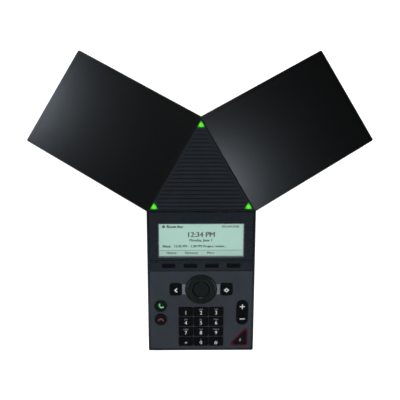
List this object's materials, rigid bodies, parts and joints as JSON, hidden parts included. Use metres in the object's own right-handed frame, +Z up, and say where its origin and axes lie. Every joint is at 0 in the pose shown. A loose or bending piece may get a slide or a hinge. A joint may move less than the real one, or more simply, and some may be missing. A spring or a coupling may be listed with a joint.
{
  "type": "conference speakerphone",
  "caption": "Three-armed table conference phone: sloping wings around a ribbed triangular speaker hub, with a display and keypad on the front arm.",
  "frame": {"origin": "on the table under the middle of the bounding box", "axes": "+Z up from the table, the front arm with the keypad points toward -Y, +X is to the user's right"},
  "size_m": [0.3286, 0.2852, 0.066],
  "materials": {
    "shell_black": "satin black moulded housing",
    "shell_under": "fine textured black underside",
    "rubber_black": "black rubber",
    "label_silver": "blank silver rating label",
    "screw_steel": "black zinc-plated steel",
    "grille_black": "satin black ribbed grille",
    "led_green": "clear green indicator window, lit",
    "board_green": "green circuit board with parts",
    "cup_black": "black speaker cup",
    "basket_steel": "black painted steel",
    "magnet_iron": "ferrite magnet and plated yoke",
    "cone_paper": "dark pulp cone",
    "mic_metal": "plated capsule",
    "can_steel": "tin-plated steel",
    "jack_steel": "plated steel shell",
    "bezel_dark": "dark smooth display surround",
    "lens_clear": "clear display lens",
    "lcd_mint": "backlit monochrome display, pale mint",
    "white_plastic": "white diffuser frame",
    "face_grey": "matte charcoal face plate",
    "trim_grey": "light grey trim bars",
    "mute_red": "dark red light ring",
    "silicone_grey": "grey silicone key mat",
    "ribbon_white": "white ribbon with blue ends",
    "key_black": "near-black key caps"
  },
  "bodies": {
    "base": {"upper_housing": "shell_black", "lower_housing": "shell_under", "rubber_feet": "rubber_black", "rating_label": "label_silver", "housing_screws": "screw_steel", "pcb_screws": "screw_steel", "speaker_grille": "grille_black", "led_window_rear": "led_green", "led_window_left": "led_green", "led_window_right": "led_green", "led_boards": "board_green", "speaker_enclosure": "cup_black", "speaker_basket": "basket_steel", "speaker_magnet": "magnet_iron", "speaker_cone": "cone_paper", "dust_cap": "cone_paper", "speaker_surround": "rubber_black", "speaker_gasket": "rubber_black", "mic_boots": "rubber_black", "mic_capsules": "mic_metal", "main_pcb": "board_green", "shield_cans": "can_steel", "ethernet_jack": "jack_steel", "usb_port": "jack_steel", "display_bezel": "bezel_dark", "display_lens": "lens_clear", "lcd_panel": "lcd_mint", "lcd_backlight": "white_plastic", "softkey_panel": "bezel_dark", "keypad_panel": "face_grey", "nav_trim_bars": "trim_grey", "mute_light_ring": "mute_red", "keypad_membrane": "silicone_grey", "keypad_pcb": "board_green", "ribbon_cable": "ribbon_white"},
    "nav_pivot": {"nav_pivot_ring": "can_steel"},
    "nav": {"nav_ring": "key_black"},
    "volume": {"volume_rocker": "key_black"},
    "softkey_1_body": {"softkey_1": "key_black"},
    "softkey_2_body": {"softkey_2": "key_black"},
    "softkey_3_body": {"softkey_3": "key_black"},
    "softkey_4_body": {"softkey_4": "key_black"},
    "select_key_body": {"select_key": "key_black"},
    "back_key_body": {"back_key": "key_black"},
    "home_key_body": {"home_key": "key_black"},
    "call_key_body": {"call_key": "key_black"},
    "hangup_key_body": {"hangup_key": "key_black"},
    "mute_key_body": {"mute_key": "key_black"},
    "key_1_body": {"key_1": "key_black"},
    "key_2_body": {"key_2": "key_black"},
    "key_3_body": {"key_3": "key_black"},
    "key_4_body": {"key_4": "key_black"},
    "key_5_body": {"key_5": "key_black"},
    "key_6_body": {"key_6": "key_black"},
    "key_7_body": {"key_7": "key_black"},
    "key_8_body": {"key_8": "key_black"},
    "key_9_body": {"key_9": "key_black"},
    "key_star_body": {"key_star": "key_black"},
    "key_0_body": {"key_0": "key_black"},
    "key_hash_body": {"key_hash": "key_black"}
  },
  "joints": [
    {"name": "softkey_1_press", "type": "slide", "parent": "base", "child": "softkey_1_body", "axis": [0, -0.2747, 0.9615], "range_m": [-0.0007, 0], "stiffness_N_per_m": 400, "springref_m": 0.0008},
    {"name": "softkey_2_press", "type": "slide", "parent": "base", "child": "softkey_2_body", "axis": [0, -0.2747, 0.9615], "range_m": [-0.0007, 0], "stiffness_N_per_m": 400, "springref_m": 0.0008},
    {"name": "softkey_3_press", "type": "slide", "parent": "base", "child": "softkey_3_body", "axis": [0, -0.2747, 0.9615], "range_m": [-0.0007, 0], "stiffness_N_per_m": 400, "springref_m": 0.0008},
    {"name": "softkey_4_press", "type": "slide", "parent": "base", "child": "softkey_4_body", "axis": [0, -0.2747, 0.9615], "range_m": [-0.0007, 0], "stiffness_N_per_m": 400, "springref_m": 0.0008},
    {"name": "select_key_press", "type": "slide", "parent": "base", "child": "select_key_body", "axis": [0, -0.2747, 0.9615], "range_m": [-0.0007, 0], "stiffness_N_per_m": 400, "springref_m": 0.0008},
    {"name": "back_key_press", "type": "slide", "parent": "base", "child": "back_key_body", "axis": [0, -0.2747, 0.9615], "range_m": [-0.0007, 0], "stiffness_N_per_m": 400, "springref_m": 0.0008},
    {"name": "home_key_press", "type": "slide", "parent": "base", "child": "home_key_body", "axis": [0, -0.2747, 0.9615], "range_m": [-0.0007, 0], "stiffness_N_per_m": 400, "springref_m": 0.0008},
    {"name": "call_key_press", "type": "slide", "parent": "base", "child": "call_key_body", "axis": [0, -0.2747, 0.9615], "range_m": [-0.0007, 0], "stiffness_N_per_m": 400, "springref_m": 0.0008},
    {"name": "hangup_key_press", "type": "slide", "parent": "base", "child": "hangup_key_body", "axis": [0, -0.2747, 0.9615], "range_m": [-0.0007, 0], "stiffness_N_per_m": 400, "springref_m": 0.0008},
    {"name": "mute_key_press", "type": "slide", "parent": "base", "child": "mute_key_body", "axis": [0, -0.2747, 0.9615], "range_m": [-0.0007, 0], "stiffness_N_per_m": 400, "springref_m": 0.0008},
    {"name": "key_1_press", "type": "slide", "parent": "base", "child": "key_1_body", "axis": [0, -0.2747, 0.9615], "range_m": [-0.0007, 0], "stiffness_N_per_m": 400, "springref_m": 0.0008},
    {"name": "key_2_press", "type": "slide", "parent": "base", "child": "key_2_body", "axis": [0, -0.2747, 0.9615], "range_m": [-0.0007, 0], "stiffness_N_per_m": 400, "springref_m": 0.0008},
    {"name": "key_3_press", "type": "slide", "parent": "base", "child": "key_3_body", "axis": [0, -0.2747, 0.9615], "range_m": [-0.0007, 0], "stiffness_N_per_m": 400, "springref_m": 0.0008},
    {"name": "key_4_press", "type": "slide", "parent": "base", "child": "key_4_body", "axis": [0, -0.2747, 0.9615], "range_m": [-0.0007, 0], "stiffness_N_per_m": 400, "springref_m": 0.0008},
    {"name": "key_5_press", "type": "slide", "parent": "base", "child": "key_5_body", "axis": [0, -0.2747, 0.9615], "range_m": [-0.0007, 0], "stiffness_N_per_m": 400, "springref_m": 0.0008},
    {"name": "key_6_press", "type": "slide", "parent": "base", "child": "key_6_body", "axis": [0, -0.2747, 0.9615], "range_m": [-0.0007, 0], "stiffness_N_per_m": 400, "springref_m": 0.0008},
    {"name": "key_7_press", "type": "slide", "parent": "base", "child": "key_7_body", "axis": [0, -0.2747, 0.9615], "range_m": [-0.0007, 0], "stiffness_N_per_m": 400, "springref_m": 0.0008},
    {"name": "key_8_press", "type": "slide", "parent": "base", "child": "key_8_body", "axis": [0, -0.2747, 0.9615], "range_m": [-0.0007, 0], "stiffness_N_per_m": 400, "springref_m": 0.0008},
    {"name": "key_9_press", "type": "slide", "parent": "base", "child": "key_9_body", "axis": [0, -0.2747, 0.9615], "range_m": [-0.0007, 0], "stiffness_N_per_m": 400, "springref_m": 0.0008},
    {"name": "key_star_press", "type": "slide", "parent": "base", "child": "key_star_body", "axis": [0, -0.2747, 0.9615], "range_m": [-0.0007, 0], "stiffness_N_per_m": 400, "springref_m": 0.0008},
    {"name": "key_0_press", "type": "slide", "parent": "base", "child": "key_0_body", "axis": [0, -0.2747, 0.9615], "range_m": [-0.0007, 0], "stiffness_N_per_m": 400, "springref_m": 0.0008},
    {"name": "key_hash_press", "type": "slide", "parent": "base", "child": "key_hash_body", "axis": [0, -0.2747, 0.9615], "range_m": [-0.0007, 0], "stiffness_N_per_m": 400, "springref_m": 0.0008},
    {"name": "nav_tilt_left_right", "type": "hinge", "parent": "base", "child": "nav_pivot", "pos_m": [0, -0.08144, 0.04092], "axis": [0, 0.9615, 0.2747], "range_deg": [-2, 2], "stiffness_Nm_per_rad": 0.03},
    {"name": "nav_tilt_up_down", "type": "hinge", "parent": "nav_pivot", "child": "nav", "pos_m": [0, -0.08166, 0.04169], "axis": [1, 0, 0], "range_deg": [-2, 2], "stiffness_Nm_per_rad": 0.03},
    {"name": "volume_rock", "type": "hinge", "parent": "base", "child": "volume", "pos_m": [0.0387, -0.10391, 0.03439], "axis": [1, 0, 0], "range_deg": [-2.5, 2.5], "stiffness_Nm_per_rad": 0.04}
  ]
}
